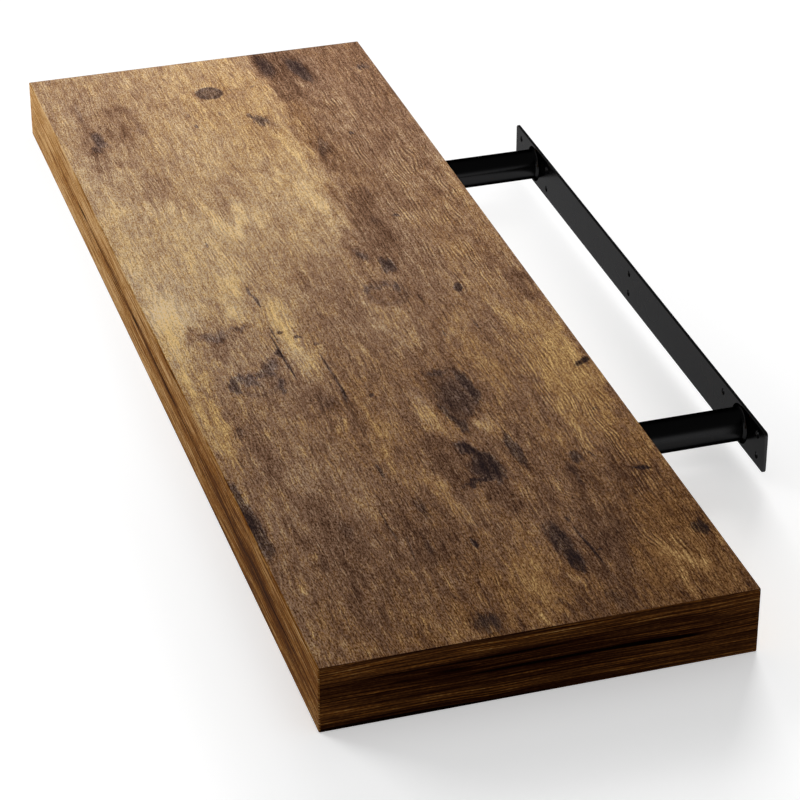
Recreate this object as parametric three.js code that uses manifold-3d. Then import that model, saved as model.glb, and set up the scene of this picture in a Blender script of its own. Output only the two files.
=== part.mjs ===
// Floating wall shelf: a thick hollow-core board in wood look, and the steel bracket that it slides on.
// Lengths are in millimetres. The origin is the centre of the wall plate's back face.
// +X runs along the shelf, +Y points into the wall and +Z is up.
// The board stands pulled part of the way off its bracket, as it does while it is being fitted.

import * as THREE from "three";
import { mergeVertices } from "three/addons/utils/BufferGeometryUtils.js";
import Module from "manifold-3d";

const wasm = await Module();
wasm.setup();

// The board as a whole
const shelfLength = 914;
const shelfDepth = 298;
const shelfThickness = 49;
const pullOut = 85;

// Its skins: a printed laminate on a fibreboard panel above and below, and edge bands round three sides
const laminateThickness = 0.5;
const panelThickness = 5;
const bandThickness = 1;
const arrisRadius = 0.8;
const arrisSteps = 3;
const boardCornerRadius = 0.3;

// Its frame: rails round the edge, and a bored block for each bracket tube
const frontRailWidth = 36;
const endRailWidth = 36;
const backRailWidth = 30;
const socketBlockWidth = 50;
const socketClearance = 0.5;
const socketEndRoom = 6;
const plateGrooveDepth = 8;

// Its filling: expanded paper honeycomb in the bays of the frame
const cellPitch = 36;
const paperThickness = 0.8;
const hexagonSides = 6;

// The bracket
const plateLength = 534;
const plateHeight = 33;
const plateThickness = 2.5;
const plateCornerRadius = 3;
const plateEdgeBreak = 0.4;
const plateEdgeSteps = 2;
const tubeSpacing = 445;
const tubeDiameter = 25;
const tubeWall = 1.5;
const tubeLength = 230;
const tubeEdgeBreak = 0.4;
const weldLeg = 2.5;
const weldSteps = 4;

// Its screw holes: an upper and a lower hole in each of five columns
const screwHoleDiameter = 5;
const screwRowSpacing = 17;
const innerColumnSpacing = 381;
const outerColumnSpacing = 508;

// Steps round a full turn, and how far a cutting body runs past what it cuts
const tubeSegments = 48;
const holeSegments = 20;
const cornerSegments = 4;
const overrun = 2;

// Places along X, Y and Z in the board's own frame: its back face is at y = 0
const boardEnd = shelfLength / 2;
const coreEnd = boardEnd - bandThickness;
const endRailInside = coreEnd - endRailWidth;
const tubeX = tubeSpacing / 2;
const blockInside = tubeX - socketBlockWidth / 2;
const blockOutside = tubeX + socketBlockWidth / 2;
const boardFront = -shelfDepth;
const coreFront = boardFront + bandThickness;
const frontRailBack = coreFront + frontRailWidth;
const grooveFloor = -plateGrooveDepth;
const backRailFront = grooveFloor - backRailWidth;
const boardBack = 0;
const boardTop = shelfThickness / 2;
const panelTop = boardTop - laminateThickness;
const coreTop = panelTop - panelThickness;

// Sizes that the bracket and the board share
const tubeRadius = tubeDiameter / 2;
const socketRadius = tubeRadius + socketClearance;
const socketEnd = -(plateThickness + tubeLength + socketEndRoom);

const finishes = {
  laminate: new THREE.MeshStandardMaterial({ color: 0x86633c, roughness: 0.55, metalness: 0 }),
  edgeBand: new THREE.MeshStandardMaterial({ color: 0x7d5426, roughness: 0.5, metalness: 0 }),
  fibreboard: new THREE.MeshStandardMaterial({ color: 0xa9855c, roughness: 0.9, metalness: 0 }),
  chipboard: new THREE.MeshStandardMaterial({ color: 0xc2a271, roughness: 0.95, metalness: 0 }),
  kraftPaper: new THREE.MeshStandardMaterial({ color: 0xb08a5a, roughness: 0.95, metalness: 0 }),
  blackSteel: new THREE.MeshStandardMaterial({ color: 0x0e0e0e, roughness: 0.3, metalness: 0 }),
};

// A closed geometry as a solid that can be joined and cut.
function toSolid(geometry) {
  const bare = geometry.clone();
  bare.deleteAttribute("normal");
  bare.deleteAttribute("uv");
  const merged = mergeVertices(bare);
  return new wasm.Manifold(
    new wasm.Mesh({
      numProp: 3,
      vertProperties: merged.getAttribute("position").array,
      triVerts: new Uint32Array(merged.index.array),
    }),
  );
}

// A solid back as a geometry, with flat-shaded faces.
function toGeometry(solid) {
  const mesh = solid.getMesh();
  const geometry = new THREE.BufferGeometry();
  geometry.setAttribute("position", new THREE.BufferAttribute(mesh.vertProperties, mesh.numProp));
  geometry.setIndex(new THREE.BufferAttribute(mesh.triVerts, 1));
  const flat = geometry.toNonIndexed();
  flat.computeVertexNormals();
  return flat;
}

// A box between two corners. Neighbours that are given the same place share the same plane.
function block([lowX, highX], [lowY, highY], [lowZ, highZ]) {
  const geometry = new THREE.BoxGeometry(1, 1, 1);
  const position = geometry.getAttribute("position");
  for (let i = 0; i < position.count; i++) {
    position.setXYZ(
      i,
      position.getX(i) < 0 ? lowX : highX,
      position.getY(i) < 0 ? lowY : highY,
      position.getZ(i) < 0 ? lowZ : highZ,
    );
  }
  return geometry;
}

// A flat shape drawn up from one height to another.
function prism(shape, low, high) {
  const geometry = new THREE.ExtrudeGeometry(shape, { depth: 1, bevelEnabled: false });
  const position = geometry.getAttribute("position");
  for (let i = 0; i < position.count; i++) position.setZ(i, position.getZ(i) > 0 ? high : low);
  return geometry;
}

// A rectangle about the origin with round corners.
function roundedRectangle(width, height, radius) {
  const right = width / 2;
  const top = height / 2;
  const shape = new THREE.Shape();
  shape.moveTo(radius - right, -top);
  shape.lineTo(right - radius, -top);
  shape.absarc(right - radius, radius - top, radius, -Math.PI / 2, 0);
  shape.lineTo(right, top - radius);
  shape.absarc(right - radius, top - radius, radius, 0, Math.PI / 2);
  shape.lineTo(radius - right, top);
  shape.absarc(radius - right, top - radius, radius, Math.PI / 2, Math.PI);
  shape.lineTo(-right, radius - top);
  shape.absarc(radius - right, radius - top, radius, Math.PI, 1.5 * Math.PI);
  return shape;
}

// A rod with its axis along Y, for cutting round holes.
function rod(radius, lowY, highY) {
  const profile = [
    new THREE.Vector2(0, lowY),
    new THREE.Vector2(radius, lowY),
    new THREE.Vector2(radius, highY),
    new THREE.Vector2(0, highY),
  ];
  return new THREE.LatheGeometry(profile, tubeSegments);
}

function piece(name, geometry, finish) {
  const mesh = new THREE.Mesh(geometry, finish);
  mesh.name = name;
  return mesh;
}

// The board's outer form, with its arrises and upright corners broken by a small radius.
function boardForm() {
  const flatLength = shelfLength - 2 * arrisRadius;
  const flatDepth = shelfDepth - 2 * arrisRadius;
  const geometry = new THREE.ExtrudeGeometry(roundedRectangle(flatLength, flatDepth, boardCornerRadius), {
    depth: shelfThickness - 2 * arrisRadius,
    bevelThickness: arrisRadius,
    bevelSize: arrisRadius,
    bevelSegments: arrisSteps,
    curveSegments: cornerSegments,
  });
  return toSolid(geometry.translate(0, boardFront / 2, arrisRadius - boardTop));
}

// Edge bands: the front one runs the whole length, and the end ones stop behind it.
function makeBands() {
  const form = boardForm();
  const beyondEnd = boardEnd + overrun;
  const beyondTop = boardTop + overrun;
  const behindFront = [coreFront, boardBack + overrun];
  const band = (name, along, across) => {
    const stretch = toSolid(block(along, across, [-beyondTop, beyondTop]));
    return piece(name, toGeometry(stretch.intersect(form)), finishes.edgeBand);
  };
  return [
    band("front_edge_band", [-beyondEnd, beyondEnd], [boardFront - overrun, coreFront]),
    band("right_edge_band", [coreEnd, beyondEnd], behindFront),
    band("left_edge_band", [-beyondEnd, -coreEnd], behindFront),
  ];
}

// Laminates and panels, above and below the frame.
function makeSkins() {
  const along = [-coreEnd, coreEnd];
  const across = [coreFront, boardBack];
  return [
    piece("top_laminate", block(along, across, [panelTop, boardTop]), finishes.laminate),
    piece("top_panel", block(along, across, [coreTop, panelTop]), finishes.fibreboard),
    piece("bottom_panel", block(along, across, [-panelTop, -coreTop]), finishes.fibreboard),
    piece("bottom_laminate", block(along, across, [-boardTop, -panelTop]), finishes.laminate),
  ];
}

// Rails. The back ones are set in, which leaves a groove for the wall plate and its screw heads.
function makeRails() {
  const allHeight = [-coreTop, coreTop];
  const ends = [frontRailBack, boardBack];
  const back = [backRailFront, grooveFloor];
  const rail = (name, along, across) => piece(name, block(along, across, allHeight), finishes.chipboard);
  return [
    rail("front_rail", [-coreEnd, coreEnd], [coreFront, frontRailBack]),
    rail("right_end_rail", [endRailInside, coreEnd], ends),
    rail("left_end_rail", [-coreEnd, -endRailInside], ends),
    rail("right_back_rail", [blockOutside, endRailInside], back),
    rail("centre_back_rail", [-blockInside, blockInside], back),
    rail("left_back_rail", [-endRailInside, -blockOutside], back),
  ];
}

// A block from the front rail to the groove, bored from the back for one bracket tube.
function makeSocketBlock(name, x) {
  const halfWidth = socketBlockWidth / 2;
  const body = block([-halfWidth, halfWidth], [frontRailBack, grooveFloor], [-coreTop, coreTop]);
  const socket = toSolid(rod(socketRadius, socketEnd, overrun));
  const mesh = piece(name, toGeometry(toSolid(body).subtract(socket)), finishes.chipboard);
  mesh.position.x = x;
  return mesh;
}

// A hexagonal prism with two of its flats facing along X.
function hexagonPrism(acrossFlats) {
  const cornerDistance = acrossFlats / Math.sqrt(3);
  const corners = [];
  for (let k = 0; k < hexagonSides; k++) {
    const angle = ((k + 0.5) * 2 * Math.PI) / hexagonSides;
    corners.push(new THREE.Vector2(cornerDistance * Math.cos(angle), cornerDistance * Math.sin(angle)));
  }
  return toSolid(prism(new THREE.Shape(corners), -coreTop, coreTop));
}

// Honeycomb in the middle of one bay: as many whole cells as fit, in rows that step by half a cell.
function makeHoneycomb(name, [lowX, highX], [lowY, highY]) {
  const rowSpacing = (cellPitch * Math.sqrt(3)) / 2;
  const outside = cellPitch + paperThickness;
  const cornerReach = outside / Math.sqrt(3);
  const columns = Math.floor((highX - lowX - paperThickness - cellPitch / 2) / cellPitch);
  const rows = 1 + Math.floor((highY - lowY - 2 * cornerReach) / rowSpacing);
  const wallForm = hexagonPrism(outside);
  const cellForm = hexagonPrism(cellPitch - paperThickness);
  const centres = [];
  for (let row = 0; row < rows; row++) {
    const halfStep = ((row % 2) - 0.5) * (cellPitch / 2);
    for (let column = 0; column < columns; column++) {
      centres.push([
        (lowX + highX) / 2 + (column - (columns - 1) / 2) * cellPitch + halfStep,
        (lowY + highY) / 2 + (row - (rows - 1) / 2) * rowSpacing,
        0,
      ]);
    }
  }
  const walls = centres.map((centre) => wallForm.translate(centre)).reduce((all, next) => all.add(next));
  const cells = centres.map((centre) => cellForm.translate(centre));
  return piece(name, toGeometry(cells.reduce((all, cell) => all.subtract(cell), walls)), finishes.kraftPaper);
}

function makeBoard() {
  const board = new THREE.Group();
  const bay = [frontRailBack, backRailFront];
  board.add(
    ...makeBands(),
    ...makeSkins(),
    ...makeRails(),
    makeSocketBlock("right_socket_block", tubeX),
    makeSocketBlock("left_socket_block", -tubeX),
    makeHoneycomb("right_honeycomb", [blockOutside, endRailInside], bay),
    makeHoneycomb("centre_honeycomb", [-blockInside, blockInside], bay),
    makeHoneycomb("left_honeycomb", [-endRailInside, -blockOutside], bay),
  );
  board.position.y = -(plateThickness + pullOut);
  return board;
}

// The wall plate, with its arrises and the rims of its screw holes broken.
function makeWallPlate() {
  const outline = roundedRectangle(plateLength, plateHeight, plateCornerRadius);
  const innerColumn = innerColumnSpacing / 2;
  const outerColumn = outerColumnSpacing / 2;
  const holeRadius = screwHoleDiameter / 2;
  for (const column of [-outerColumn, -innerColumn, 0, innerColumn, outerColumn]) {
    for (const row of [screwRowSpacing / 2, -screwRowSpacing / 2]) {
      const ring = new THREE.EllipseCurve(column, row, holeRadius, holeRadius);
      outline.holes.push(new THREE.Path(ring.getPoints(holeSegments).slice(1)));
    }
  }
  const geometry = new THREE.ExtrudeGeometry(outline, {
    depth: plateThickness - 2 * plateEdgeBreak,
    bevelThickness: plateEdgeBreak,
    bevelSize: plateEdgeBreak,
    bevelOffset: -plateEdgeBreak,
    bevelSegments: plateEdgeSteps,
    curveSegments: cornerSegments,
  });
  geometry.translate(0, 0, plateEdgeBreak);
  geometry.rotateX(Math.PI / 2);
  return piece("wall_plate", geometry, finishes.blackSteel);
}

// A tube that stands out from the plate, open at its free end, with the rim there broken.
function makeTube(name, x) {
  const root = -plateThickness;
  const tip = root - tubeLength;
  const bore = tubeRadius - tubeWall;
  const profile = [
    new THREE.Vector2(bore, root),
    new THREE.Vector2(bore, tip),
    new THREE.Vector2(tubeRadius - tubeEdgeBreak, tip),
    new THREE.Vector2(tubeRadius, tip + tubeEdgeBreak),
    new THREE.Vector2(tubeRadius, root),
    new THREE.Vector2(bore, root),
  ];
  const mesh = piece(name, new THREE.LatheGeometry(profile, tubeSegments), finishes.blackSteel);
  mesh.position.x = x;
  return mesh;
}

// The weld round a tube's root: a hollow fillet between the tube and the plate.
function makeWeld(name, x) {
  const root = -plateThickness;
  const corner = new THREE.Vector2(tubeRadius, root);
  const centre = new THREE.Vector2(tubeRadius + weldLeg, root - weldLeg);
  const hollow = new THREE.EllipseCurve(centre.x, centre.y, weldLeg, weldLeg, Math.PI, Math.PI / 2, true);
  const profile = [corner, ...hollow.getPoints(weldSteps), corner];
  const mesh = piece(name, new THREE.LatheGeometry(profile, tubeSegments), finishes.blackSteel);
  mesh.position.x = x;
  return mesh;
}

function makeBracket() {
  const bracket = new THREE.Group();
  bracket.add(
    makeWallPlate(),
    makeTube("right_tube", tubeX),
    makeTube("left_tube", -tubeX),
    makeWeld("right_weld", tubeX),
    makeWeld("left_weld", -tubeX),
  );
  return bracket;
}

const shelf = new THREE.Group();
shelf.add(makeBoard(), makeBracket());

export default shelf;
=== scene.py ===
"""Looks of a floating wall shelf: a thick board in a rustic wood print, pulled part way off its bracket.

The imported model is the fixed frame. Pieces are built in metres in its axes: +X along the shelf, +Y into the
wall, +Z up. Sizes and places in the prints are in millimetres: along the board from its middle, in from its
front, and up from its underside.
"""

import math

import bmesh
import bpy
from bpy.props import FloatProperty, FloatVectorProperty, IntProperty, PointerProperty
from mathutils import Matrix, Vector


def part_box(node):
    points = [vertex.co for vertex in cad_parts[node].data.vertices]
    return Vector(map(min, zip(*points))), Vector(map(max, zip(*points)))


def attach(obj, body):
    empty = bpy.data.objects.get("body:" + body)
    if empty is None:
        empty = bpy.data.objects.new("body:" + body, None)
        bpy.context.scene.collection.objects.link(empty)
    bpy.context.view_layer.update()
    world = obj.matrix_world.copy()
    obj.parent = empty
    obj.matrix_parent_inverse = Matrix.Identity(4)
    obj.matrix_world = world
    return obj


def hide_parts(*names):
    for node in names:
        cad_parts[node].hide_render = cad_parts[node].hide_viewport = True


bl_info = {
    "name": "Floating wall shelf",
    "version": (1, 0, 0),
    "blender": (4, 5, 0),
    "location": "3D View > Sidebar > Shelf",
    "description": "Dresses a floating shelf and its hidden steel bracket, and lights them on a white floor",
    "category": "Object",
}

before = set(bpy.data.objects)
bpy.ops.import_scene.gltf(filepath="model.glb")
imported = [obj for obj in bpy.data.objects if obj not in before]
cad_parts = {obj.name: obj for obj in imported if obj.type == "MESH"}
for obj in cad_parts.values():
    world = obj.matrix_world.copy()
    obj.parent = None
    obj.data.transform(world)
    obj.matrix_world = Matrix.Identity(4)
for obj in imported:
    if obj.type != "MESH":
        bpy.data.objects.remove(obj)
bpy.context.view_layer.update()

MM = 0.001
# The scale at which a place is read in millimetres
PER_MM = (1 / MM,) * 3

# The board's outer planes, from its skins and bands
BOARD_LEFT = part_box("left_edge_band")[0].x
BOARD_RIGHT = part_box("right_edge_band")[1].x
BOARD_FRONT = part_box("front_edge_band")[0].y
BOARD_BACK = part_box("top_laminate")[1].y
BOARD_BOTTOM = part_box("bottom_laminate")[0].z
BOARD_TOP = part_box("top_laminate")[1].z
BOARD_LENGTH = BOARD_RIGHT - BOARD_LEFT
BOARD_DEPTH = BOARD_BACK - BOARD_FRONT
BOARD_THICKNESS = BOARD_TOP - BOARD_BOTTOM
BOARD_MIDDLE = Vector((BOARD_LEFT + BOARD_RIGHT, BOARD_FRONT + BOARD_BACK, BOARD_TOP + BOARD_BOTTOM)) / 2
BAND_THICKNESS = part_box("front_edge_band")[1].y - BOARD_FRONT

# The bracket's plate and tubes
PLATE_LOW, PLATE_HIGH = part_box("wall_plate")
TUBE_RADIUS = (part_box("left_tube")[1].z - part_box("left_tube")[0].z) / 2
WELD_LEG = (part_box("left_weld")[1].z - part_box("left_weld")[0].z) / 2 - TUBE_RADIUS
SIDES = ("left", "right")

PANELS = ("top_panel", "bottom_panel")
CHIPBOARD_PIECES = (
    "front_rail", "left_end_rail", "right_end_rail", "left_back_rail", "centre_back_rail", "right_back_rail",
    "left_socket_block", "right_socket_block",
)
HONEYCOMBS = ("left_honeycomb", "centre_honeycomb", "right_honeycomb")


def colour(name, red, green, blue, description):
    """A colour that a user may change, as linear red, green and blue."""
    return FloatVectorProperty(
        name=name, description=description, default=(red, green, blue), subtype="COLOR", min=0, max=1
    )


def length(name, millimetres, description):
    """A length that a user may change."""
    return FloatProperty(
        name=name, description=description, default=millimetres * MM, unit="LENGTH", subtype="DISTANCE", min=0
    )


def power(name, watts, description):
    """A lamp's power that a user may change."""
    return FloatProperty(name=name, description=description, default=watts, unit="POWER", min=0)


def share(name, default, description):
    """A share of full white that a user may change."""
    return FloatProperty(name=name, description=description, default=default, subtype="FACTOR", min=0, max=1)


def angle(name, degrees, description):
    """An angle that a user may change."""
    return FloatProperty(
        name=name, description=description, default=math.radians(degrees), unit="ROTATION", subtype="ANGLE"
    )


def place_of(name, x, y, z, description):
    """A place in the shelf's axes that a user may change, from millimetres."""
    metres = (x * MM, y * MM, z * MM)
    return FloatVectorProperty(
        name=name, description=description, default=metres, unit="LENGTH", subtype="TRANSLATION"
    )


class ShelfSizes(bpy.types.PropertyGroup):
    """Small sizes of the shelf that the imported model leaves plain."""

    arris: length("Board arris", 0.8, "Radius of the board's edges and corners")
    plate_corner: length("Plate corner", 3, "Radius of the wall plate's four corners")
    plate_arris: length("Plate arris", 0.45, "Radius of the coat on the plate's edges and holes")
    screw_hole: length("Screw hole", 5, "Diameter of the holes for the wall screws")
    screw_row_spacing: length("Screw rows", 17, "Distance between the upper and the lower screw holes")
    inner_columns: length("Inner columns", 381, "Distance between the two inner columns of screw holes")
    outer_columns: length("Outer columns", 508, "Distance between the two outer columns of screw holes")
    tube_wall: length("Tube wall", 1.5, "Wall thickness of the bracket's tubes")
    tube_rim: length("Tube rim", 0.4, "Radius of the rim at a tube's free end")
    weld_ripple: length("Weld ripple", 0.12, "Height of the ripples along the welds")
    lathe_steps: IntProperty(name="Steps round", description="Steps round a tube or weld", default=128, min=8)


class ShelfColours(bpy.types.PropertyGroup):
    """Colours of the shelf's finishes, from the darkest stain of the print to its lightest."""

    stain_1: colour("Stain 1", 0.022, 0.0105, 0.0065, "Darkest knots of the wood print")
    stain_2: colour("Stain 2", 0.078, 0.0335, 0.0148, "Dark streaks of the wood print")
    stain_3: colour("Stain 3", 0.134, 0.0645, 0.0285, "Dark brown of the wood print")
    stain_4: colour("Stain 4", 0.217, 0.112, 0.0545, "Middle brown of the wood print")
    stain_5: colour("Stain 5", 0.298, 0.165, 0.0855, "Light brown of the wood print")
    stain_6: colour("Stain 6", 0.378, 0.233, 0.120, "Tan of the wood print")
    stain_7: colour("Stain 7", 0.535, 0.374, 0.199, "Gold of the wood print")
    stain_8: colour("Stain 8", 0.720, 0.520, 0.285, "Lightest gold of the wood print")
    # The band colours serve the front band and the ends alike. The ends' dark tone, and the darker right part
    # of the front band, are partly painted shade that these colours carry along with the print.
    band_1: colour("Band 1", 0.012, 0.0026, 0.0008, "Black streaks of the end bands")
    band_2: colour("Band 2", 0.027, 0.008, 0.0026, "Dark zone of the end bands")
    band_3: colour("Band 3", 0.057, 0.020, 0.0056, "Brown of the end bands")
    band_4: colour("Band 4", 0.104, 0.038, 0.0098, "Light grain of the end bands, dark of the front")
    band_5: colour("Band 5", 0.176, 0.060, 0.0095, "Brown of the front band's right part")
    band_6: colour("Band 6", 0.340, 0.178, 0.052, "Tan of the front band's left part")
    band_7: colour("Band 7", 0.518, 0.335, 0.160, "Lightest grain of the front band")
    steel: colour("Black coat", 0.034, 0.034, 0.035, "Powder coat of the bracket's plate")
    # The tube coat is a darker copy of the plate's black coat: painted shade that keeps the tubes and welds
    # near black.
    tube: colour("Tube coat", 0.02, 0.02, 0.0205, "Powder coat of the tubes and welds")
    fibreboard: colour("Fibreboard", 0.300, 0.165, 0.080, "Raw fibreboard of the panels")
    chipboard: colour("Chipboard", 0.470, 0.320, 0.170, "Raw chipboard of the rails and blocks")
    kraft: colour("Kraft paper", 0.330, 0.200, 0.100, "Paper of the honeycomb")
    floor: colour("Floor", 0.960, 0.960, 0.960, "Floor under the shelf")


class StudioSettings(bpy.types.PropertyGroup):
    """Camera and light."""

    camera_azimuth: angle("Azimuth", 72.70, "Camera's turn about the shelf, from straight in front")
    camera_elevation: angle("Elevation", 30.56, "Camera's height above the horizon")
    camera_distance: length("Distance", 2205, "From the camera to the point that it looks at")
    camera_aim_along: length("Aim along", 118.2, "How far right of the board's middle the camera looks")
    camera_aim_in: length("Aim in", 10, "How far behind the board's middle the camera looks")
    camera_lens: FloatProperty(
        name="Lens", description="Focal length on a 36 mm sensor, in millimetres", default=135.78, min=1
    )
    ceiling_strength: share("Ceiling", 0.2, "Light of the sky above the white horizon")
    ceiling_mirrored: share("Ceiling mirrored", 0.1, "How bright the steel mirrors the sky above")
    floor_glow: share("Floor glow", 0.90, "How white the floor stays in full shadow at the left")
    floor_glow_right: share("Floor glow right", 0.34, "How white the floor stays in full shadow at the right")
    key_power: power("Key light", 27, "Power of the soft light beyond the left end")
    key_place: place_of("Key place", -1150, 530, 470, "Where the soft light beyond the left end hangs")
    key_size: length("Key size", 700, "Side of the soft light beyond the left end")
    overhead_power: power("Overhead light", 20, "Power of the soft light above")
    overhead_place: place_of("Overhead place", 0, -200, 3200, "Where the soft light above hangs")
    overhead_size: length("Overhead size", 5000, "Side of the soft light above")
    fill_power: power("Fill light", 20, "Power of the soft light in front")
    fill_place: place_of("Fill place", -1100, -1500, 600, "Where the soft light in front hangs")
    fill_size: length("Fill size", 1000, "Side of the soft light in front")


# How much the eye takes of red, green and blue
EYE_WEIGHTS = (0.2126, 0.7152, 0.0722)
# How far a pattern shifts along each axis from one seed to the next, in its own features
SEED_STRIDES = (7.3, 3.1, 5.7)
# Name of the node that holds where a material's pattern starts
PLACE = "place"


class Wire:
    """A value in a material. Arithmetic on wires adds Math nodes."""

    def __init__(self, finish, socket):
        self.finish = finish
        self.socket = socket

    def _math(self, operation, *terms):
        return self.finish.node("Math", {"operation": operation}, terms)

    def __add__(self, other):
        return self._math("ADD", self, other)

    __radd__ = __add__

    def __sub__(self, other):
        return self._math("SUBTRACT", self, other)

    def __rsub__(self, other):
        return self._math("SUBTRACT", other, self)

    def __mul__(self, other):
        return self._math("MULTIPLY", self, other)

    __rmul__ = __mul__

    def __truediv__(self, other):
        return self._math("DIVIDE", self, other)

    def sine(self):
        return self._math("SINE", self)

    def clipped(self):
        return self.finish.node("Clamp", {}, (self, 0.0, 1.0))

    def ramp(self, start, end, low=0.0, high=1.0):
        """Low up to start, high from end on, and a smooth rise between them."""
        settings = {"interpolation_type": "SMOOTHSTEP", "clamp": False}
        return self.finish.node("MapRange", settings, (self, start, end, low, high))


class Finish:
    """A material or sky under construction, with the patterns that this shelf's finishes are made of."""

    def __init__(self, name, kind="materials"):
        self.made = getattr(bpy.data, kind).new(name)
        self.made.use_nodes = True
        self.tree = self.made.node_tree
        self.tree.nodes.clear()

    def node(self, kind, settings, values, output=0):
        """Adds a node. Settings come first; values, by place or by name, are numbers or wires."""
        made = self.tree.nodes.new("ShaderNode" + kind)
        for name, setting in settings.items():
            if name == "stops":
                self._set_stops(made.color_ramp, setting)
            else:
                setattr(made, name, setting)
        for key, value in values.items() if isinstance(values, dict) else enumerate(values):
            if isinstance(value, Wire):
                self.tree.links.new(value.socket, made.inputs[key])
            else:
                made.inputs[key].default_value = value
        return Wire(self, made.outputs[output]) if made.outputs else None

    @staticmethod
    def _set_stops(ramp, stops):
        while len(ramp.elements) < len(stops):
            ramp.elements.new(1.0)
        for element, (position, rgb) in zip(ramp.elements, stops):
            element.position = position
            element.color = (*rgb, 1.0)

    def vector(self, operation, *terms):
        return self.node("VectorMath", {"operation": operation}, terms)

    def length(self, vector):
        return self.node("VectorMath", {"operation": "LENGTH"}, (vector,), output="Value")

    def place(self, scale, origin):
        """The surface's own place: object coordinates less an origin, each axis times its scale."""
        local = self.node("TexCoord", {}, (), output="Object")
        place = self.vector("MULTIPLY_ADD", local, (0, 0, 0), (0, 0, 0))
        place.socket.node.name = PLACE
        lay_out(self.made, scale, origin)
        return place

    def axes(self, place):
        """The separate values of a place."""
        made = self.node("SeparateXYZ", {}, (place,))
        return [Wire(self, socket) for socket in made.socket.node.outputs]

    def swap(self, place, order):
        """The same place with its axes in another order, such as XZY."""
        parts = dict(zip("XYZ", self.axes(place)))
        return self.node("CombineXYZ", {}, [parts[letter] for letter in order])

    def _cloud(self, place, size, detail, roughness, seed, output):
        shift = [seed * stride for stride in SEED_STRIDES]
        scaled = self.vector("MULTIPLY_ADD", place, [1 / s for s in size], shift)
        values = {"Vector": scaled, "Scale": 1.0, "Detail": detail, "Roughness": roughness}
        return self.node("TexNoise", {"normalize": False}, values, output=output)

    def noise(self, place, size, detail, roughness, seed):
        """Noise about zero, with features of the given size along each axis."""
        return self._cloud(place, size, detail, roughness, seed, "Fac")

    def ragged(self, place, size, reach, detail, roughness, seed):
        """A place that wanders by about reach along each axis, which makes the edges of marks ragged."""
        cloud = self._cloud(place, size, detail, roughness, seed, "Color")
        return self.vector("MULTIPLY_ADD", cloud, reach, place)

    def spot(self, place, along, depth, half_length, half_width, turn=0.0):
        """Distance from an oval's centre, 1 on its rim."""
        if turn:
            settings = {"rotation_type": "Z_AXIS"}
            values = {"Vector": place, "Center": (along, depth, 0.0), "Angle": -math.radians(turn)}
            place = self.node("VectorRotate", settings, values)
        scale = (1 / half_length, 1 / half_width, 0.0)
        offset = (-along / half_length, -depth / half_width, 0.0)
        return self.length(self.vector("MULTIPLY_ADD", place, scale, offset))

    def marks(self, place, marks, inner, outer):
        """The sum of oval marks: each has its strength inside inner and fades out at outer, in radii."""
        total = 0.0
        for strength, *oval in marks:
            total = total + self.spot(place, *oval).ramp(inner, outer, strength, 0.0)
        return total

    def blend(self, share, first, second):
        """The first colour, going over to the second with share."""
        return self.node("Mix", {"data_type": "RGBA"}, {0: share, 6: first, 7: second}, output=2)

    def multiply(self, first, second):
        """Two colours multiplied."""
        settings = {"data_type": "RGBA", "blend_type": "MULTIPLY"}
        return self.node("Mix", settings, {0: 1.0, 6: first, 7: second}, output=2)

    def grey(self, value):
        """A grey of that light."""
        return self.node("CombineXYZ", {}, (value, value, value))

    def bump(self, height, distance, strength=1.0):
        """A normal from a height between 0 and 1 that stands for the given distance."""
        return self.node("Bump", {}, {"Strength": strength, "Distance": distance, "Height": height})

    def stain(self, tone, stains):
        """The colour for a tone, the logarithm of its light, from the darkest to the lightest stain."""
        logs = [math.log(light_of(rgb)) for rgb in stains]
        span = logs[-1] - logs[0]
        stops = [((value - logs[0]) / span, tuple(rgb)) for value, rgb in zip(logs, stains)]
        return self.node("ValToRGB", {"stops": stops}, ((tone - logs[0]) / span,))

    def surface(self, **values):
        """Closes the material with a shader that takes these values."""
        named = {key.replace("_", " ").title().replace("Ior", "IOR"): value for key, value in values.items()}
        shader = self.node("BsdfPrincipled", {}, named)
        self.node("OutputMaterial", {}, (shader,))
        return self.made


def lay_out(material, scale, origin):
    """Sets where a material's pattern starts and how large each of its axes is."""
    inputs = material.node_tree.nodes[PLACE].inputs
    inputs[1].default_value = scale
    inputs[2].default_value = [-s * o for s, o in zip(scale, origin)]


def solid_colour(rgb):
    """A colour in the form that a socket takes."""
    return (*rgb, 1.0)


def light_of(rgb):
    """How light a linear colour looks."""
    return sum(weight * channel for weight, channel in zip(EYE_WEIGHTS, rgb))


# Marks of the printed wood, each: strength, along, depth, half length, half width, turn in degrees.
# A strength is a change in the logarithm of the light.

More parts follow.
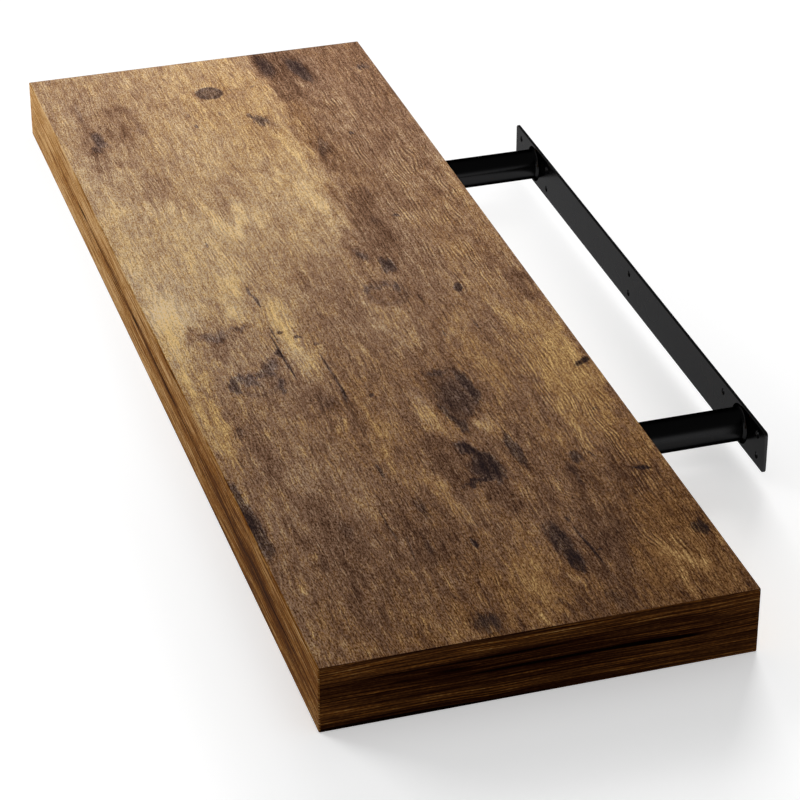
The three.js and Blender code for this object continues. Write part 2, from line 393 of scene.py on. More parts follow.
# Broad zones with soft torn edges, light and dark
WOOD_ZONES = (
    (0.16, -200, 12, 150, 16), (0.06, -14, 24, 30, 32), (-0.34, -335, 58, 70, 17), (-0.4, -310, 27, 60, 16),
    (-0.26, -358, 48, 30, 14), (-0.38, -215, 60, 34, 17), (0.26, -152, 114, 32, 16),
    (0.14, -180, 168, 76, 18), (0.26, -110, 66, 80, 26), (0.14, -150, 30, 90, 20),
    (0.16, -425, 110, 36, 36), (0.16, -415, 175, 30, 10), (0.12, -290, 130, 70, 30),
    (0.12, -250, 182, 90, 12), (-0.45, -425, 212, 60, 24), (-0.26, -250, 210, 60, 10),
    (-0.36, -115, 212, 62, 13), (-0.5, -75, 182, 58, 22), (-0.3, -95, 200, 60, 12),
    (-0.26, -20, 140, 50, 28), (0.14, -170, 177, 80, 7), (0.16, -160, 292, 90, 8),
    (0.16, -350, 260, 80, 12), (0.34, 35, 9, 80, 15), (0.46, 165, 8, 80, 9), (0.34, 60, 92, 66, 14),
    (0.18, 60, 62, 22, 12), (-0.4, 30, 44, 18, 18), (-0.1, 142, 90, 26, 18), (-0.36, 195, 33, 62, 11),
    (0.22, 50, 166, 26, 11), (0.3, 178, 160, 38, 9), (-0.26, 160, 186, 46, 18), (0.22, 165, 120, 60, 10),
    (0.36, 206, 195, 15, 11), (-0.15, 12, 188, 24, 16), (-0.24, 10, 215, 55, 14), (0.34, 110, 222, 80, 18),
    (0.52, 150, 275, 110, 24), (0.36, 110, 288, 50, 9), (0.3, 270, 85, 48, 12), (-0.26, 330, 58, 70, 12),
    (-0.4, 335, 112, 62, 20), (0.34, 392, 162, 46, 18), (0.26, 312, 150, 28, 18), (-0.3, 300, 48, 52, 18),
    (0.3, 415, 264, 16, 12), (0.2, 235, 256, 34, 9), (-0.45, 245, 155, 40, 12), (-0.4, 300, 172, 26, 14),
    (-0.5, 432, 172, 20, 12), (0.2, 285, 138, 40, 10), (0.26, 255, 252, 44, 14), (0.26, 408, 262, 30, 12),
    (-0.3, 345, 232, 70, 18), (-0.42, 296, 262, 44, 22), (-0.3, 15, 288, 34, 11), (-0.22, -60, 284, 40, 10),
    (0.24, -60, 252, 80, 10), (0.16, -330, 244, 60, 12), (0.14, -220, 262, 60, 14), (-0.2, 400, 60, 60, 30),
    (-0.3, 400, 215, 60, 12), (-0.16, -290, 25, 40, 14), (-0.14, 45, 150, 24, 12), (-0.16, 20, 190, 20, 12),
    (-0.22, 190, 140, 22, 12), (-0.22, 240, 195, 20, 10), (-0.3, 290, 172, 22, 12),
    (-0.16, -120, 185, 24, 8), (0.24, 60, 12, 40, 12), (0.22, 140, 85, 22, 14), (0.2, 270, 40, 30, 14),
    (0.26, -80, 288, 40, 10), (0.24, 150, 290, 40, 10), (0.16, -350, 185, 30, 10), (0.14, -400, 190, 40, 8),
    (0.16, 410, 160, 34, 14), (-0.14, -400, 286, 50, 16), (0.22, -150, 95, 26, 16),
    (-0.16, -205, 122, 26, 16), (0.2, 285, 122, 20, 12), (0.18, -65, 8, 60, 12), (0.2, -30, 65, 40, 18),
    (0.18, 75, 30, 30, 18), (0.14, -150, 100, 25, 20), (-0.26, -400, 190, 16, 12), (0.2, -365, 200, 14, 10),
    (-0.22, -400, 292, 60, 8), (-0.26, 20, 290, 34, 8), (-0.28, 370, 292, 40, 8), (0.24, 410, 270, 20, 14),
    (0.2, 180, 245, 20, 8), (-0.2, 210, 195, 14, 10), (0.2, 305, 175, 16, 10), (0.18, -80, 205, 14, 8),
    (-0.2, -175, 275, 16, 12), (-0.16, -120, 265, 14, 10), (0.18, -90, 275, 14, 12),
    (-0.16, -280, 222, 30, 8), (-0.18, 300, 37, 20, 8), (-0.16, 190, 215, 60, 12), (-0.1, -405, 60, 50, 60),
)

# Knots and smudges with torn edges
WOOD_SMUDGES = (
    (-0.85, -326, 32, 19, 6), (-0.7, -304, 27, 8, 4.5), (-0.5, -318, 38, 7, 3), (-0.45, -385, 28, 28, 2.5),
    (-0.35, -335, 71, 15, 3), (-0.3, -360, 73, 8, 2), (-1.05, -325, 171, 13, 5.5, 28),
    (-0.28, -313, 177, 24, 12, 15), (-0.7, -428, 205, 28, 9), (-1.05, -416, 231, 32, 8, 8),
    (-0.5, -262, 210, 18, 6), (-0.4, -245, 205, 16, 3), (-0.75, -404, 286, 6, 6.5), (-0.35, -450, 15, 8, 5),
    (-0.75, -62, 184, 14, 5, 8), (-1.4, -41, 198.5, 14, 6), (-0.6, -5, 194, 10, 2.5),
    (-0.45, -9, 171, 6, 4), (-0.4, -9, 183, 4, 10), (-0.4, -115, 211, 10, 4), (-0.35, -165, 221, 15, 2.5),
    (-0.35, -150, 198, 12, 2.5), (0.34, -14, 20, 27, 24), (0.3, -3, 66, 20, 10), (-0.6, 29, 42, 11, 15),
    (-0.55, 21, 64, 6, 11), (-0.65, 85, 71, 14, 7, -20), (-0.7, 94, 50, 4.5, 13, 15),
    (-0.65, 106, 39, 12, 3.5), (0.34, 40, 97, 70, 10), (0.25, 48, 165, 15, 8), (0.3, 175, 160, 36, 8),
    (0.45, 205, 194, 14, 10), (-0.7, 116, 71, 10, 2.5, -12), (-0.5, 105, 52, 8, 7), (-0.3, 146, 96, 19, 12),
    (-0.5, 166, 186, 42, 18), (-0.85, 157, 201, 18, 3.5), (-0.6, 148, 198, 30, 3),
    (-0.6, 190, 174, 22, 3, 10), (-0.5, 206, 178, 9, 5), (-0.4, 127, 183, 4, 14), (-1.1, 268, 2, 36, 6),
    (-0.9, 300, 4, 28, 7), (-1.1, 237, 172, 15, 5.5, 25), (-1.4, 264, 179, 22, 8.5),
    (-1.2, 278, 165, 4.5, 11, 12), (-0.55, 262, 171, 15, 8), (-0.9, 245, 203, 26, 5),
    (-0.9, 366, 194, 30, 7), (-1, 389, 195, 15, 5.5), (-0.75, 440, 117, 12, 11), (-0.8, 269, 240, 8, 3.5),
    (-0.4, 288, 232, 20, 4), (-1.2, 376, 289, 11, 5.5, -10), (0.3, 305, 250, 18, 3),
    (0.45, 410, 188, 13, 3, 35), (-0.25, 345, 36, 22, 6), (-0.3, 310, 62, 18, 5), (0.2, 290, 17, 26, 4),
    (-0.4, 165, 26, 8, 3), (-0.45, 300, 118, 20, 5), (-0.4, 345, 108, 20, 5), (-0.45, 435, 170, 4, 4),
    (-0.35, 440, 205, 20, 6),
)

# Small marks with crisp edges: cracks, dashes and dots
WOOD_FLECKS = (
    (-0.7, -327, 118, 4, 1.6), (-0.4, -348, 116, 5, 2.5), (-0.4, -427, 113, 3, 2),
    (-0.45, -345, 143, 5, 1.2), (-0.4, -390, 168, 1, 14, 6), (-0.55, -391, 183, 2, 4),
    (-0.75, -276, 239, 3.5, 2.5), (-0.75, -120, 230, 3, 3), (-0.75, -115, 73, 6, 1.2),
    (-0.4, -95, 74, 13, 0.9), (-0.75, -31, 85, 9, 1.4), (-1, -14, 87, 12, 1.4, 5),
    (-0.85, 40, 85.5, 20, 0.8), (-1.2, 72, 83.5, 38, 1.1, 1), (-1.1, 68, 82, 8, 2.6),
    (-1.1, 37, 91, 2.6, 3.2), (-1.1, 47, 101.5, 2.6, 3.2), (-0.55, 66, 80, 3, 2), (-0.55, 62, 112, 3, 3),
    (-0.65, 110, 111, 46, 1, 1), (-0.8, 138, 110.5, 12, 1.6, -3), (-0.8, 145, 129, 3.4, 1.8, -20),
    (-1.4, 9, 239.5, 8, 3.8, -8), (-1.4, 144, 290, 3.6, 9, 38), (-0.6, 75, 207, 8, 1),
    (-0.5, 20, 207, 12, 0.9), (-0.5, 70, 234, 12, 1), (-0.9, 246, 105, 12, 1.3),
    (-0.9, 350, 138, 7, 2.4, 8), (-1.1, 376, 210, 28, 1.1, 5), (-0.7, 341, 207, 4, 1.2),
    (-0.8, 382, 215, 1.8, 2), (-1.2, 294, 279, 2.8, 7, -20), (-0.5, 315, 90, 30, 1, 2),
    (-0.45, 345, 96, 25, 0.9, -6), (0.35, 336, 93, 8, 2.4), (-0.6, 210, 275, 2.2, 2),
    (-0.5, 268, 252, 12, 1.2, 20),
)

# Ringed knots: strength, along, depth, half length, half width
WOOD_RINGS = (
    (1.15, -388, 144, 11.5, 10.5), (0.35, 2, 185, 20, 16), (0.3, 106, 55, 17, 19),
)

# Zones of even stripes, by how far the stripes turn from the board's length, in degrees
STRIPE_ZONES = {
    0: (
        (0.30, -180, 255, 240, 38),
        (0.26, 180, 264, 120, 30),
        (0.30, 330, 270, 150, 24),
        (0.20, 60, 94, 70, 16),
        (0.07, -400, 150, 90, 60),
    ),
    5: ((0.40, -110, 90, 85, 20),),
    35: ((0.20, 312, 228, 42, 24), (0.10, 290, 150, 30, 14), (0.16, -25, 258, 28, 16)),
}

# Where the print is more amber (above zero) or more smoky (below zero)
HUE_ZONES = (
    (0.6, 400, 275, 130, 45), (0.35, 430, 160, 50, 140), (0.25, 250, 290, 200, 25),
    (0.25, -330, 165, 120, 50), (-0.6, -420, 225, 60, 26), (-0.35, -310, 262, 160, 46),
    (-0.35, -80, 222, 110, 26), (-0.35, 105, 70, 70, 45), (-0.3, 270, 60, 90, 50), (-0.2, -30, 20, 70, 24),
    (-0.15, -300, 30, 150, 30), (-0.2, 60, 150, 70, 40),
)
SMOKY = (0.94, 1.01, 1.25, 1.0)
AMBER = (1.06, 0.99, 0.75, 1.0)
SMOKE = (0.88, 1.07, 1.45, 1.0)
WHITE = (1.0, 1.0, 1.0, 1.0)

# Streaks of the edge bands, each: strength, along, height, half length, half width
FRONT_STREAKS = (
    (-0.38, 90, 26, 430, 8), (-0.36, -80, 28, 250, 2.2), (-0.5, 100, 26.5, 300, 1.6),
    (-0.4, 250, 29, 130, 10), (-0.45, 340, 19, 95, 8), (-0.6, -150, 29, 120, 1.8),
    (-0.45, 20, 25, 150, 1.6), (-0.3, 10, 30, 60, 6), (-0.3, 0, 19, 460, 6), (-0.15, -40, 9, 70, 6),
    (-0.2, 445, 38, 40, 14), (-0.22, 330, 19, 150, 8), (-0.6, 60, 27, 26, 3), (-0.7, 240, 2, 130, 3),
    (-0.3, 200, 40, 260, 2), (-0.3, -330, 22, 60, 3), (-0.25, -380, 31, 50, 3),
)
END_STREAKS = (
    (-1.1, 120, 30, 180, 9), (-0.4, 275, 22, 40, 20), (-0.3, 190, 40, 80, 8), (-0.6, 140, 48, 160, 2),
    (-1, 150, 19, 110, 9), (-0.3, 160, 9, 160, 6), (-1.8, 90, 1, 150, 4.5), (-1.3, 110, 34.5, 95, 1.2),
    (-1.6, 90, 29.5, 16, 2), (-1, 60, 27, 14, 1.4), (-0.8, 30, 22, 30, 1), (0.6, 140, 41, 160, 1),
    (0.6, 150, 12, 150, 1),
)
# Crisp dark lines of the edge bands, in the same order
FRONT_LINES = (
    (-1.1, -243, 28, 22, 1.6), (-0.7, -200, 27, 75, 1), (-0.9, -90, 25.8, 95, 1.2),
    (-0.9, -48, 26.5, 14, 1.8), (-1.2, 40, 27.5, 50, 1), (-0.6, 150, 26, 70, 1.2), (-0.8, 248, 29, 13, 2.2),
    (-1.3, 335, 24.5, 85, 0.8), (-1, 380, 24.5, 36, 1.1), (-0.5, -40, 34, 50, 0.8), (-0.5, 0, 1.2, 457, 1),
)
END_LINES = (
    (-2.5, 172, 23.6, 92, 1.3), (-2, 225, 24, 38, 2), (-1.6, 70, 1.5, 115, 1.3), (-1, 225, 24.2, 30, 1.3),
    (-1.2, 90, 34.5, 90, 0.8), (-1, 135, 34, 40, 1.4), (-1.2, 90, 29.5, 13, 1.6), (-0.8, 55, 27.5, 9, 1.2),
    (-0.8, 8, 23.5, 14, 1.2),
)
# Where along a band its tone goes over from one level to another, and those two levels. The front band's fall
# toward its right end is partly painted shade, where the light falls off.
FRONT_FADE_AND_SHADE = (-60, 330, -1.66, -2.36)
# The ends use the same band print laid out far darker than the front: painted shade of faces turned away from
# the light.
END_SHADE_FADE = (150, 298, -3.3, -3.4)

# A mark's soft edge, in its radii: where it starts to fade, and where it is gone
ZONE_EDGE = (0.35, 1.35)
SMUDGE_EDGE = (0.25, 1.4)
FLECK_EDGE = (0.5, 1.2)
STRIPE_EDGE = (0.4, 1.3)
HUE_EDGE = (0.2, 1.5)
STREAK_EDGE = (0.3, 1.4)
LINE_EDGE = (0.4, 1.15)

# How marks stray from their true ovals: size of a wave, its reach, detail, roughness and seed
WILD = ((60, 18, 60), (34, 12, 0), 3, 0.65, 1)
TORN = ((20, 6, 20), (7, 2.4, 0), 4, 0.7, 2)
CRISP = ((12, 4, 12), (1.8, 0.7, 0), 2, 0.65, 9)
WAVY = ((80, 30, 80), (0, 3, 0), 2, 0.65, 3)
CURLY = ((12, 5, 12), (1.4, 0.8, 0), 2, 0.65, 15)

# Patterns of the print: size of a feature, detail, roughness and seed
CLOUDS = ((180, 60, 180), 1, 0.9, 4)
MOTTLE = ((28, 12, 28), 5, 0.95, 5)
FIBRES = ((22, 1.7, 22), 1, 0.6, 6)
HILLS = ((70, 20, 70), 2, 0.5, 7)
PATCHES = ((40, 12, 40), 1, 0.6, 8)
DRIFT = ((60, 22, 60), 4, 0.9, 10)
PORES = ((5, 1.0, 5), 1, 0.7, 11)
GRAIN = ((2.6, 0.9, 2.6), 1, 0.7, 12)
LINES = ((50, 0.9, 50), 1, 0.7, 13)
SLOTS = ((14, 0.8, 14), 1, 0.7, 14)

# How much of each goes into the print's tone
CLOUD_TONE, MOTTLE_TONE, FIBRE_TONE, LINE_TONE, PORE_TONE, SLOT_TONE = 0.12, 0.23, 0.26, 0.45, 0.2, 0.45
# Grain leans to the dark side, and is lifted to keep the mean
GRAIN_LEAN, GRAIN_LIFT = 0.7, 0.07
# Strength of the texture at tone 0, and what it gains in dark wood and dark marks
TEXTURE, TEXTURE_OF_WOOD, TEXTURE_OF_MARKS = 0.3, 0.44, 0.45
# Where pores and slots start to show in their noise, and where they are full
PORE_DEPTH = (0.18, 0.42)
SLOT_DEPTH = (0.1, 0.5)
# How much gold a mark takes away, and how dark marks turn to smoke
MARK_GOLD = 0.25
SMOKE_OF_MARKS = (-0.9, -0.1, 1.0, 0.0)

# Slow changes over the board, each: where it starts, where it ends, and its value there
# The length fades are partly the print's own tone and partly painted shade: they darken the top toward the
# right end, where the key light falls off.
LENGTH_FADES_AND_SHADE = ((-90, 150, -1.25, -1.94), (160, 440, 0, -0.26), (-420, -200, -0.1, 0), (448, 457, 0, -0.3))
GRAIN_FADE = (-100, 300, 0.92, 1.0)
MARK_FADE = (-50, 150, 1.0, 1.3)
DRIFT_FADE = (-150, 150, 0.12, 0.2)
GOLD_FADE = (-150, 200, 0.45, 1.1)
# The same over its depth, each with how much of it shows along the board
DEPTH_FADES = (
    ((10, 130, 0.26, 0), (-140, 20, 0, 1)),
    ((192, 206, 0, -0.52), (-80, 60, 1, 0.1)),
    ((120, 290, 0.03, -0.10), (-250, 0, 1, 0)),
)

# Lines of the grain: their pitch, how far they sway and swing round a knot, and how much of them shows
STRIPE_PITCH = 2.7
STRIPE_SWAY = 3.0
KNOT_SWING = 7.0
STRIPES_EVERYWHERE = 0.09
STRIPE_PATCHES = (-0.3, 0.5, 0.25, 1.2)
# A ringed knot, by its radii: its lighter heart, its ring's outer edge, and how far it pushes the grain
HEART_SHARE = 0.6
HEART_EDGE = (0.5, 0.85)
RING_EDGE = (0.95, 1.25, 1.0, 0.0)
PUSH_EDGE = (0.0, 2.2, 1.0, 0.0)


def make_wood_print(colours):
    """The rustic print of the board's top, laid out from the middle of the front edge."""
    finish = Finish("wood_print_top")
    place = finish.place(PER_MM, (0, BOARD_FRONT, 0))
    along, _, _ = finish.axes(place)
    wild = finish.ragged(place, *WILD)
    torn = finish.ragged(place, *TORN)
    crisp = finish.ragged(place, *CRISP)
    wavy = finish.ragged(place, *WAVY)

    zones = finish.marks(wild, WOOD_ZONES, *ZONE_EDGE)
    smudges = finish.marks(torn, WOOD_SMUDGES, *SMUDGE_EDGE)
    flecks = finish.marks(crisp, WOOD_FLECKS, *FLECK_EDGE)
    knots, swing = knot_marks(finish, crisp)

    curly = finish.ragged(wavy, *CURLY)
    clouds = finish.noise(wild, *CLOUDS)
    mottle = finish.noise(wavy, *MOTTLE)
    fibres = finish.noise(curly, *FIBRES)
    stripes = stripe_marks(finish, wavy, swing)
    pores = finish.noise(curly, *PORES).ramp(*PORE_DEPTH)
    grain = finish.noise(place, *GRAIN)
    grain = grain - grain * grain * GRAIN_LEAN + GRAIN_LIFT
    lines = finish.noise(curly, *LINES)
    slots = finish.noise(curly, *SLOTS).ramp(*SLOT_DEPTH)

    broad = clouds * CLOUD_TONE + mottle * MOTTLE_TONE + fibres * FIBRE_TONE + lines * LINE_TONE + stripes
    broad = broad - pores * PORE_TONE - slots * SLOT_TONE
    texture = broad + grain * along.ramp(*GRAIN_FADE)
    dark = (smudges + flecks + knots) * along.ramp(*MARK_FADE)
    # Painted shade: the slow fades darken the top toward the right end, along with the print's own tone; the
    # zones are print.
    plain = slow_fades_and_shade(finish, wild) + zones
    tone = plain + dark + texture * (TEXTURE - plain * TEXTURE_OF_WOOD - dark * TEXTURE_OF_MARKS)
    stain = finish.stain(tone, [getattr(colours, "stain_%d" % step) for step in range(1, 9)])
    drift = finish.noise(wavy, *DRIFT) * along.ramp(*DRIFT_FADE)
    golden = (broad + zones) * along.ramp(*GOLD_FADE) + dark * MARK_GOLD
    warmth = 0.5 + finish.marks(wild, HUE_ZONES, *HUE_EDGE) + drift + golden - grain
    tint = finish.blend(warmth.clipped(), SMOKY, AMBER)
    smoke = finish.blend(dark.ramp(*SMOKE_OF_MARKS), WHITE, SMOKE)

    return finish.surface(
        base_color=finish.multiply(finish.multiply(stain, tint), smoke),
        roughness=0.62 - fibres * 0.06,
        specular_ior_level=0.01,
        normal=finish.bump(0.5 + fibres * 0.3 + mottle * 0.2, 0.12 * MM, 0.5),
    )


def slow_fades_and_shade(finish, place):
    """The slow change of the print's tone from its light left end to its dark right end: partly the print's
    own tone, partly painted shade where the key light falls off toward the right end.
    """
    along, depth, _ = finish.axes(place)
    tone = sum(along.ramp(*fade) for fade in LENGTH_FADES_AND_SHADE)
    for fade, share in DEPTH_FADES:
        tone = tone + depth.ramp(*fade) * along.ramp(*share)
    return tone


def knot_marks(finish, place):
    """Round knots: a dark ring for each, and how far each pushes the grain's lines aside."""
    dark, swing = 0.0, 0.0
    for strength, *oval in WOOD_RINGS:
        radius = finish.spot(place, *oval)
        dark = dark - radius.ramp(*HEART_EDGE, HEART_SHARE * strength, strength) * radius.ramp(*RING_EDGE)
        swing = swing + radius.ramp(*PUSH_EDGE)
    return dark, swing


def stripe_marks(finish, place, swing):
    """Lines of the grain, which run round the knots and show more in some zones than in others."""
    hills = finish.noise(place, *HILLS) * STRIPE_SWAY + swing * KNOT_SWING
    patchy = finish.noise(place, *PATCHES).ramp(*STRIPE_PATCHES)
    total = 0.0
    for turn, zones in STRIPE_ZONES.items():
        values = {"Vector": place, "Angle": -math.radians(turn)}
        turned = finish.node("VectorRotate", {"rotation_type": "Z_AXIS"}, values) if turn else place
        _, height, _ = finish.axes(turned)
        lines = ((height + hills) * (2 * math.pi / STRIPE_PITCH)).sine()
        everywhere = 0.0 if turn else STRIPES_EVERYWHERE
        total = total + lines * (finish.marks(place, zones, *STRIPE_EDGE) + everywhere)
    return total * patchy


# Patterns of the edge bands in the same form, but for the seeds, which follow the band's own
BAND_WAVY = ((110, 40, 110), (0, 1.8, 0), 1, 0.65)
BAND_TORN = ((26, 3, 26), (14, 0.8, 0), 3, 0.7)
BAND_LINES = ((90, 0.9, 90), 1, 0.7)
BAND_FIBRES = ((24, 2.0, 24), 2, 0.7)
BAND_GRAIN = ((3, 0.9, 3), 1, 0.7)
# How much of each goes into a band's tone, and how far a crack darkens its colour
BAND_LINE_TONE, BAND_GRAIN_TONE, BAND_FIBRE_TONE, BAND_CRACK_TONE = 1.15, 0.35, 0.5, 0.8
BAND_CONTRAST = 1.6
CRACK_SHADE = (-1.9, -0.15, 0.1, 1.0)


def make_band_finish(name, colours, order, fade, streaks, thin, seed):
    """An edge band's print: long fine lines, and dark streaks where the wood's heart shows."""
    finish = Finish(name)
    place = finish.swap(finish.place(PER_MM, (0, BOARD_FRONT, BOARD_BOTTOM)), order)
    wavy = finish.ragged(place, *BAND_WAVY, seed)
    torn = finish.ragged(wavy, *BAND_TORN, seed + 1)
    lines = finish.noise(wavy, *BAND_LINES, seed + 2)
    fibres = finish.noise(wavy, *BAND_FIBRES, seed + 3)
    grain = finish.noise(place, *BAND_GRAIN, seed + 4)
    along, _, _ = finish.axes(torn)
    fine = (lines * BAND_LINE_TONE + grain * BAND_GRAIN_TONE) * BAND_CONTRAST
    texture = fine + fibres * BAND_FIBRE_TONE
    cracks = finish.marks(wavy, thin, *LINE_EDGE)
    # The fade along the band is partly painted shade: the front darkens toward its right end, and the ends
    # are laid out far darker than the front.
    tone = along.ramp(*fade) + finish.marks(torn, streaks, *STREAK_EDGE) + cracks * BAND_CRACK_TONE + texture
    stain = finish.stain(tone, [getattr(colours, "band_%d" % step) for step in range(1, 8)])
    return finish.surface(
        base_color=finish.multiply(stain, finish.grey(cracks.ramp(*CRACK_SHADE))),
        roughness=0.6 + fibres * 0.1,
        specular_ior_level=0.004,
        normal=finish.bump(0.5 + lines * 0.4, 0.08 * MM, 0.5),
    )


# Colours of the raw flecks, as shares of the piece's colour
RAW_DARK, RAW_LIGHT = 0.55, 1.45
# Flecks of the raw pieces: size of a fleck, contrast and seed
FIBREBOARD_FLECKS = ((1.5, 1.5, 0.5), 0.5, 31)
CHIPBOARD_FLECKS = ((6, 4, 2), 0.9, 32)
KRAFT_FLECKS = ((9, 9, 0.8), 0.4, 33)
# Noise of the powder coat: size of a feature, detail, roughness and seed
COAT_PEEL = ((1.4, 1.4, 1.4), 1, 0.6, 1)
COAT_HAZE = ((45, 45, 45), 2, 0.6, 2)
# How far the flat and the round steel still mirror at a low angle. The plate, tubes and welds share one
# powder coat: the round copy mirrors far less as painted shade, which keeps the tubes near black.
FLAT_EDGE_TINT, SHADED_ROUND_EDGE_TINT = 0.5, 0.07


def make_steel_finish(name, coat, edge_tint):
    """Black powder coat with a faint orange peel. The edge tint is how far it mirrors at a low angle."""
    finish = Finish(name)
    place = finish.place(PER_MM, (0, 0, 0))
    peel = finish.noise(place, *COAT_PEEL)
    haze = finish.noise(place, *COAT_HAZE)
    return finish.surface(
        base_color=solid_colour(coat),
        metallic=1.0,
        roughness=0.24 + haze * 0.06,
        specular_tint=(edge_tint, edge_tint, edge_tint, 1),
        normal=finish.bump(peel, 0.02 * MM, 0.35),
    )


def make_raw_finish(name, tint, size, contrast, seed):
    """Raw board or paper: flecks of the given size, lighter and darker than its colour."""
    finish = Finish(name)
    place = finish.place(PER_MM, (0, 0, 0))
    flecks = finish.noise(place, size, detail=3, roughness=0.7, seed=seed)
    share = (0.5 + flecks * contrast).clipped()
    dark = [channel * RAW_DARK for channel in tint]
    light = [min(channel * RAW_LIGHT, 1.0) for channel in tint]
    return finish.surface(
        base_color=finish.blend(share, solid_colour(dark), solid_colour(light)),
        roughness=0.85 + flecks * 0.1,
        specular_ior_level=0.2,
        normal=finish.bump(flecks, 0.2 * MM, 0.6),
    )


# Steps round a plate corner, a hole, a steel rim, a board arris and a weld, and ripples round the weld
CORNER_STEPS = 8
HOLE_STEPS = 32
RIM_STEPS = 4
ARRIS_STEPS = 5
WELD_STEPS = 6
WELD_RIPPLES = 36
# An edge is shaded smooth below this angle, and a face is flat when its normal is this close to an axis
SMOOTH_BELOW = math.radians(40)
FLAT_FROM = 0.99999


def dress(node, material):
    """Gives a carried-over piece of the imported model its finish."""
    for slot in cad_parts[node].material_slots:
        slot.material = material


def add_piece(bm, name, body, replaced, material, flat_faces=True):
    """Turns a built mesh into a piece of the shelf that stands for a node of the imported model."""
    soften(bm, flat_faces)
    bmesh.ops.recalc_face_normals(bm, faces=bm.faces)
    mesh = bpy.data.meshes.new(name)
    bm.to_mesh(mesh)
    bm.free()
    mesh.materials.append(material)
    piece = bpy.data.objects.new(name, mesh)
    bpy.context.scene.collection.objects.link(piece)
    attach(piece, body)
    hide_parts(replaced)
    return piece


def soften(bm, flat_faces):
    """Shades the rounded places smooth. Large flat faces keep their own normal, and so do sharp corners."""
    bm.normal_update()
    for face in bm.faces:
        face.smooth = True
    for edge in bm.edges:
        faces = edge.link_faces
        beside_flat = flat_faces and any(max(map(abs, face.normal)) > FLAT_FROM for face in faces)
        edge.smooth = not beside_flat and edge.calc_face_angle(math.pi) < SMOOTH_BELOW


def rounded_board(radius):
    """The board's outer block with its edges and corners rounded."""
    bm = bmesh.new()
    bmesh.ops.create_cube(bm, size=1)
    for vertex in bm.verts:
        vertex.co = BOARD_MIDDLE + Vector(
            (vertex.co.x * BOARD_LENGTH, vertex.co.y * BOARD_DEPTH, vertex.co.z * BOARD_THICKNESS)
        )
    bmesh.ops.bevel(
        bm, geom=bm.edges[:], offset=radius, segments=ARRIS_STEPS, profile=0.5, affect="EDGES",
        offset_type="OFFSET",
    )
    return bm


def quarter_turn(steps):
    """The angles of a quarter turn in even steps, with both ends."""
    return [step / steps * math.pi / 2 for step in range(steps + 1)]


def keep_side(bm, point, outward):
    """Cuts away what lies outward of a plane and closes the cut."""
    cut = bmesh.ops.bisect_plane(
        bm, geom=bm.verts[:] + bm.edges[:] + bm.faces[:], plane_co=point, plane_no=outward, clear_outer=True
    )
    edges = [item for item in cut["geom_cut"] if isinstance(item, bmesh.types.BMEdge)]
    bmesh.ops.edgenet_fill(bm, edges=edges)


def ring_of(bm, points):
    """Vertices round one closed outline, joined by edges."""
    ring = [bm.verts.new(point) for point in points]
    for one, two in zip(ring, ring[1:] + ring[:1]):
        bm.edges.new((one, two))
    return ring


def join_rings(bm, first, second):
    """Faces between two closed outlines of equally many vertices."""
    for step in range(len(first)):
        after = (step + 1) % len(first)
        bm.faces.new((first[step], first[after], second[after], second[step]))


def lathe(bm, profile, centre_x, steps, ripple=lambda turn, radius: radius):
    """Turns a closed profile of radius and y about an axis along Y."""
    rings = []
    for radius, y in profile:
        ring = []
        for step in range(steps):
            turn = 2 * math.pi * step / steps
            reach = ripple(turn, radius)
            ring.append(bm.verts.new((centre_x + reach * math.cos(turn), y, reach * math.sin(turn))))
        rings.append(ring)
    for one, two in zip(rings, rings[1:] + rings[:1]):
        join_rings(bm, one, two)


class SHELF_OT_lay_faces(bpy.types.Operator):
    """Lays the rustic wood print on the board's top and underside"""

    bl_idname = "shelf.lay_faces"
    bl_label = "Lay faces"

    def execute(self, context):
        top = make_wood_print(context.scene.shelf_colours)
        # The underside takes the top's print turned round, with the painted shade of its length fade.
        underside = top.copy()
        underside.name = "wood_print_underside"
        lay_out(underside, (-1 / MM, -1 / MM, 1 / MM), (0, BOARD_BACK, 0))
        dress("top_laminate", top)
        dress("bottom_laminate", underside)
        return {"FINISHED"}


class SHELF_OT_band_edges(bpy.types.Operator):
    """Bands the board's front edge and its two ends, with rounded arrises"""

    bl_idname = "shelf.band_edges"
    bl_label = "Band edges"

    def execute(self, context):
        radius = context.scene.shelf_sizes.arris
        colours = context.scene.shelf_colours
        front = make_band_finish(
            "wood_band_front", colours, "XZY", FRONT_FADE_AND_SHADE, FRONT_STREAKS, FRONT_LINES, 11
        )
        # The ends are a darker copy of the band print: painted shade.
        ends = make_band_finish("wood_band_ends", colours, "YZX", END_SHADE_FADE, END_STREAKS, END_LINES, 21)
        behind = (0, BOARD_FRONT + BAND_THICKNESS, 0)
        bands = (
            ("front", front, ((behind, (0, 1, 0)),)),
            ("left", ends, (((BOARD_LEFT + BAND_THICKNESS, 0, 0), (1, 0, 0)), (behind, (0, -1, 0)))),
            ("right", ends, (((BOARD_RIGHT - BAND_THICKNESS, 0, 0), (-1, 0, 0)), (behind, (0, -1, 0)))),
        )
        for side, material, cuts in bands:
            bm = rounded_board(radius)
            for point, outward in cuts:
                keep_side(bm, point, outward)
            add_piece(bm, "%s_band" % side, "board", "%s_edge_band" % side, material)
        return {"FINISHED"}


class SHELF_OT_finish_core(bpy.types.Operator):
    """Gives the panels, rails, socket blocks and honeycomb their raw finishes"""

    bl_idname = "shelf.finish_core"
    bl_label = "Finish core"

    def execute(self, context):
        colours = context.scene.shelf_colours
        fibreboard = make_raw_finish("raw_fibreboard", colours.fibreboard, *FIBREBOARD_FLECKS)
        chipboard = make_raw_finish("raw_chipboard", colours.chipboard, *CHIPBOARD_FLECKS)
        kraft = make_raw_finish("kraft_paper", colours.kraft, *KRAFT_FLECKS)
        for nodes, material in ((PANELS, fibreboard), (CHIPBOARD_PIECES, chipboard), (HONEYCOMBS, kraft)):
            for node in nodes:
                dress(node, material)
        return {"FINISHED"}


